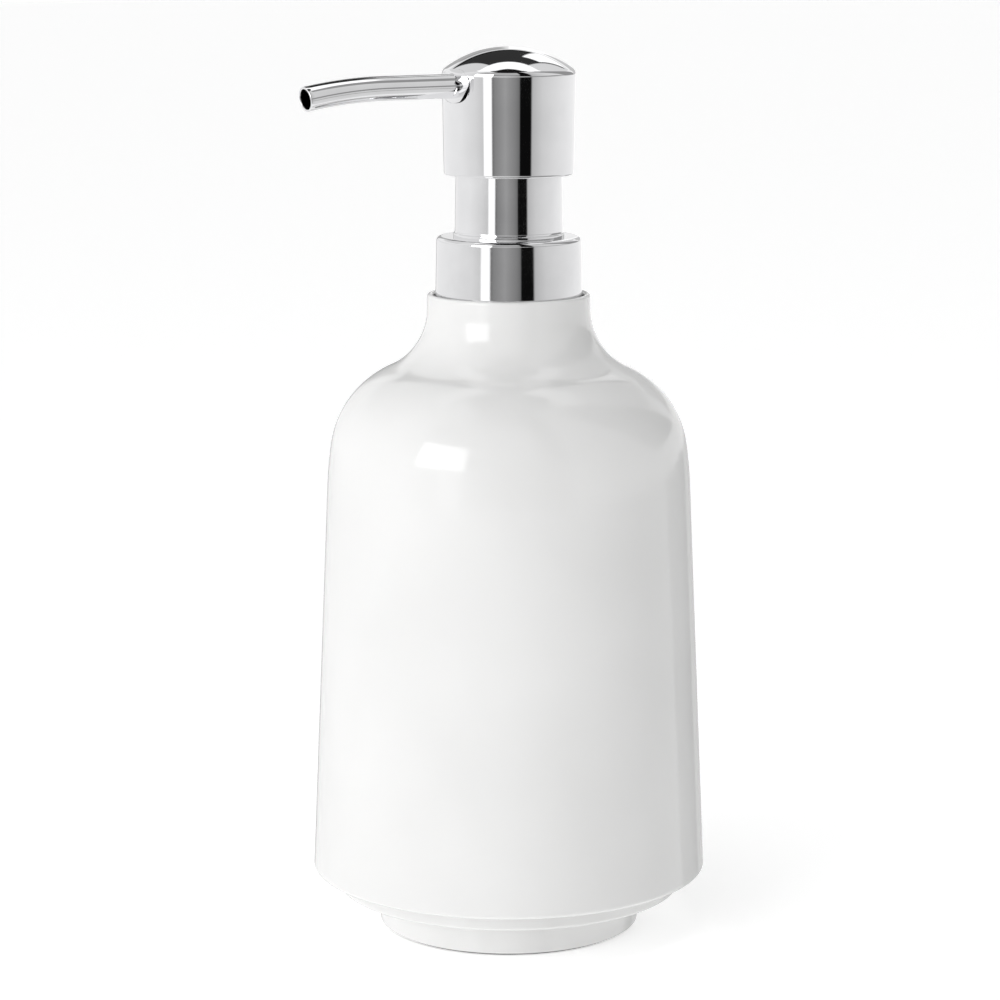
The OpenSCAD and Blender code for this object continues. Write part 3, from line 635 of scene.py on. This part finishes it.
# tones round the room, by azimuth to the right from the camera's side: plain walls, and the stripes of cards
# and gaps that the polished pieces show
roomWalls = [
    (-180, 0.86), (-90, 0.82), (-45, 0.8), (0, 0.7), (40, 0.3), (90, 0.3), (112, 0.6), (130, 0.93),
    (180, 0.9),
]
roomStripes = [
    (-180, 0.93), (-178, 0.35), (-166, 0.35), (-164, 0.95), (-130, 0.93), (-90, 0.89), (-60, 0.77),
    (-45, 0.66), (-43, 1.25), (-30, 1.25), (-28, 0.16), (-24, 0.25), (-6, 0.36), (12, 0.24), (18, 0.17),
    (19.5, 0.004), (38, 0.004), (41, 0.52), (60, 0.68), (90, 0.8), (130, 0.93), (165, 0.98), (170, 1.2),
    (180, 1.2),
]
roomCards = [
    {"name": "frontCard", "azimuth": (-62, 20), "elevation": (24, 60), "tone": 0.47},
    {"name": "frontDark", "azimuth": (-45, 42), "elevation": (60, 100), "tone": 0.01},
    {"name": "sideCard", "behind": 95, "elevation": (24, 61), "tone": 0.75},
    {"name": "backPanel", "behind": 156, "elevation": (28, 60.5), "tone": 0.035},
    {"name": "backEdge", "behind": 156, "elevation": (28, 31), "tone": 0.004},
    {"name": "topCard", "behind": 95, "elevation": (60.5, 73.5), "tone": 1.3},
    {"name": "topDark", "behind": -10, "elevation": (73.5, 100), "tone": 0.01},
    {"name": "backWindow", "azimuth": (158, 171), "elevation": (26, 46), "tone": 1.3},
    {"name": "rightFlag", "azimuth": (112, 150), "elevation": (-50, 66), "lean": 0.75, "tone": 0.32},
    {"name": "rightShade", "azimuth": (150, 172), "elevation": (-50, 20), "tone": 0.6},
    {"name": "leftLine", "azimuth": (-178, -165), "elevation": (-50, 20), "tone": 0.45},
    {"name": "keyBox", "azimuth": (-62, -28), "elevation": (-1, 32), "tone": 3.7},
    {"name": "tableTop", "behind": -10, "elevation": (-100, -40), "tone": 0.95},
]
plainElevations = (-15.5, 8)  # between these, in degrees, the room shows its plain walls
farthestBehind = 200          # an azimuth past the far side, for cards that reach right round it
skyPanel = {"azimuth": -15, "elevation": 66, "away": 1.0, "aimZ": 0.1, "size": 0.5, "power": 1.75}
stripeScreen = {"radius": 0.5, "lowZ": 0.065, "highZ": 0.165, "turns": 180}


def directionFrom(azimuthDeg, elevationDeg):
    # unit vector from the object, with azimuth measured round from the camera's side
    a = math.radians(studio["azimuthDeg"] + azimuthDeg)
    e = math.radians(elevationDeg)
    return Vector((math.sin(a) * math.cos(e), -math.cos(a) * math.cos(e), math.sin(e)))


def makeFloor(s):
    clearSelection()
    bpy.ops.mesh.primitive_plane_add(size=s["floorSize"], location=(0, 0, 0))
    floor = bpy.context.object
    floor.name = "paleTable"
    floor.visible_glossy = False
    material, tree, shader = newMaterial("palePaper")
    grain = objectNoise(tree, 40, detail=2)
    tone = s["floorTone"]
    paper = twoTone(tree, grain, (tone - s["floorGrain"],) * 3, (tone,) * 3)
    tree.links.new(paper, shader.inputs["Base Color"])
    shader.inputs["Roughness"].default_value = 0.9
    shader.inputs["Specular IOR Level"].default_value = 0.1
    shader.inputs["Emission Color"].default_value = (1, 1, 1, 1)
    shader.inputs["Emission Strength"].default_value = s["floorGlow"]
    floor.data.materials.append(material)


def mathNode(tree, operation, a, b=None):
    node = tree.nodes.new("ShaderNodeMath")
    node.operation = operation
    for socket, value in zip(node.inputs, (a, b)):
        if isinstance(value, (int, float)):
            socket.default_value = value
        elif value is not None:
            tree.links.new(value, socket)
    return node.outputs["Value"]


def within(tree, value, low, high, soft=1.5):
    # 1 between two values and 0 outside them, with soft edges
    rise = rangeOf(tree, value, 0, 1, low - soft / 2, low + soft / 2)
    fall = rangeOf(tree, value, 1, 0, high - soft / 2, high + soft / 2)
    return mathNode(tree, "MULTIPLY", rise, fall)


def compassAzimuth(tree, vector):
    # azimuth in degrees of a direction, turned to start at the camera's side
    turn = tree.nodes.new("ShaderNodeMapping")
    turn.inputs["Rotation"].default_value = (0, 0, math.radians(90 - studio["azimuthDeg"]))
    split = tree.nodes.new("ShaderNodeSeparateXYZ")
    tree.links.new(vector, turn.inputs["Vector"])
    tree.links.new(turn.outputs["Vector"], split.inputs["Vector"])
    compass = mathNode(tree, "ARCTAN2", split.outputs["Y"], split.outputs["X"])
    return mathNode(tree, "MULTIPLY", compass, 180 / math.pi), split.outputs["Z"]


def toneRamp(tree, azimuth, stops):
    ramp = tree.nodes.new("ShaderNodeValToRGB")
    elements = ramp.color_ramp.elements
    while len(elements) < len(stops):
        elements.new(0.5)
    for element, (deg, tone) in zip(elements, stops):
        element.position = (deg + 180) / 360
        element.color = (tone, tone, tone, 1)
    tree.links.new(rangeOf(tree, azimuth, 0, 1, -180, 180), ramp.inputs["Fac"])
    return ramp.outputs["Color"]


def mixTones(tree, factor, a, b):
    mix = tree.nodes.new("ShaderNodeMix")
    mix.data_type = "RGBA"
    tree.links.new(factor, mix.inputs["Factor"])
    tree.links.new(a, mix.inputs["A"])
    if isinstance(b, float):
        mix.inputs["B"].default_value = (b, b, b, 1)
    else:
        tree.links.new(b, mix.inputs["B"])
    return mix.outputs["Result"]


def makeStudioWorld():
    # a room of grey walls and cards, which lights the object and shows in its polish; plain white behind it
    world = bpy.data.worlds.new("studioRoom")
    bpy.context.scene.world = world
    world.use_nodes = True
    tree = world.node_tree
    tree.nodes.clear()
    coords = tree.nodes.new("ShaderNodeTexCoord")
    azimuth, rise = compassAzimuth(tree, coords.outputs["Generated"])
    elevation = mathNode(tree, "MULTIPLY", mathNode(tree, "ARCSINE", rise), 180 / math.pi)
    behind = mathNode(tree, "ABSOLUTE", azimuth)
    plain = within(tree, elevation, *plainElevations)
    tone = mixTones(tree, plain, toneRamp(tree, azimuth, roomStripes), toneRamp(tree, azimuth, roomWalls))
    for card in roomCards:
        across = behind if "behind" in card else azimuth
        if "lean" in card:
            across = mathNode(tree, "ADD", azimuth, mathNode(tree, "MULTIPLY", elevation, card["lean"]))
        sides = within(tree, across, *card.get("azimuth", (card.get("behind"), farthestBehind)))
        inside = mathNode(tree, "MULTIPLY", sides, within(tree, elevation, *card["elevation"]))
        tone = mixTones(tree, inside, tone, float(card["tone"]))
    room = tree.nodes.new("ShaderNodeBackground")
    paper = tree.nodes.new("ShaderNodeBackground")
    paper.inputs["Color"].default_value = (1, 1, 1, 1)
    path = tree.nodes.new("ShaderNodeLightPath")
    choose = tree.nodes.new("ShaderNodeMixShader")
    out = tree.nodes.new("ShaderNodeOutputWorld")
    tree.links.new(tone, room.inputs["Color"])
    tree.links.new(path.outputs["Is Camera Ray"], choose.inputs["Fac"])
    tree.links.new(room.outputs["Background"], choose.inputs[1])
    tree.links.new(paper.outputs["Background"], choose.inputs[2])
    tree.links.new(choose.outputs["Shader"], out.inputs["Surface"])


def makeStripeScreen(s):
    # a striped ring level with the pump, seen only in reflections
    clearSelection()
    bpy.ops.mesh.primitive_cylinder_add(
        vertices=s["turns"], radius=s["radius"], depth=s["highZ"] - s["lowZ"], end_fill_type="NOTHING",
        location=(0, 0, (s["lowZ"] + s["highZ"]) / 2))
    screen = bpy.context.object
    screen.name = "stripeScreen"
    bpy.ops.object.transform_apply(location=True, rotation=False, scale=False)
    for ray in ("camera", "diffuse", "shadow", "transmission", "volume_scatter"):
        setattr(screen, "visible_" + ray, False)
    material = bpy.data.materials.new("stripedCloth")
    material.use_nodes = True
    tree = material.node_tree
    tree.nodes.clear()
    coords = tree.nodes.new("ShaderNodeTexCoord")
    azimuth, _ = compassAzimuth(tree, coords.outputs["Object"])
    glow = tree.nodes.new("ShaderNodeEmission")
    out = tree.nodes.new("ShaderNodeOutputMaterial")
    tree.links.new(toneRamp(tree, azimuth, roomStripes), glow.inputs["Color"])
    tree.links.new(glow.outputs["Emission"], out.inputs["Surface"])
    screen.data.materials.append(material)


def makeSkyPanel(s):
    # soft light from above the camera that the polish doesn't show
    toward = directionFrom(s["azimuth"], s["elevation"])
    clearSelection()
    bpy.ops.object.light_add(type="AREA", location=toward * s["away"] + Vector((0, 0, s["aimZ"])),
                             rotation=toward.to_track_quat("Z", "Y").to_euler())
    panel = bpy.context.object
    panel.name = "skyPanel"
    panel.data.shape = "DISK"
    panel.data.size = s["size"]
    panel.data.energy = s["power"]
    panel.visible_glossy = False


def makeCamera(s):
    camera = bpy.data.cameras.new("studioCamera")
    camera.lens = s["lens"]
    camera.sensor_width = s["sensor"]
    camera.shift_x = s["sideShift"]
    camera.dof.use_dof = False
    camera.clip_start = s["nearest"]
    holder = bpy.data.objects.new("studioCamera", camera)
    bpy.context.scene.collection.objects.link(holder)
    spot = directionFrom(0, 0) * s["distance"]
    holder.location = (spot.x, spot.y, s["height"])
    holder.rotation_euler = directionFrom(0, s["downDeg"]).to_track_quat("Z", "Y").to_euler()
    bpy.context.scene.camera = holder


makeFloor(studio)
makeStudioWorld()
makeStripeScreen(stripeScreen)
makeSkyPanel(skyPanel)
makeCamera(studio)
bpy.context.scene.view_settings.view_transform = "Standard"
print("studio made")
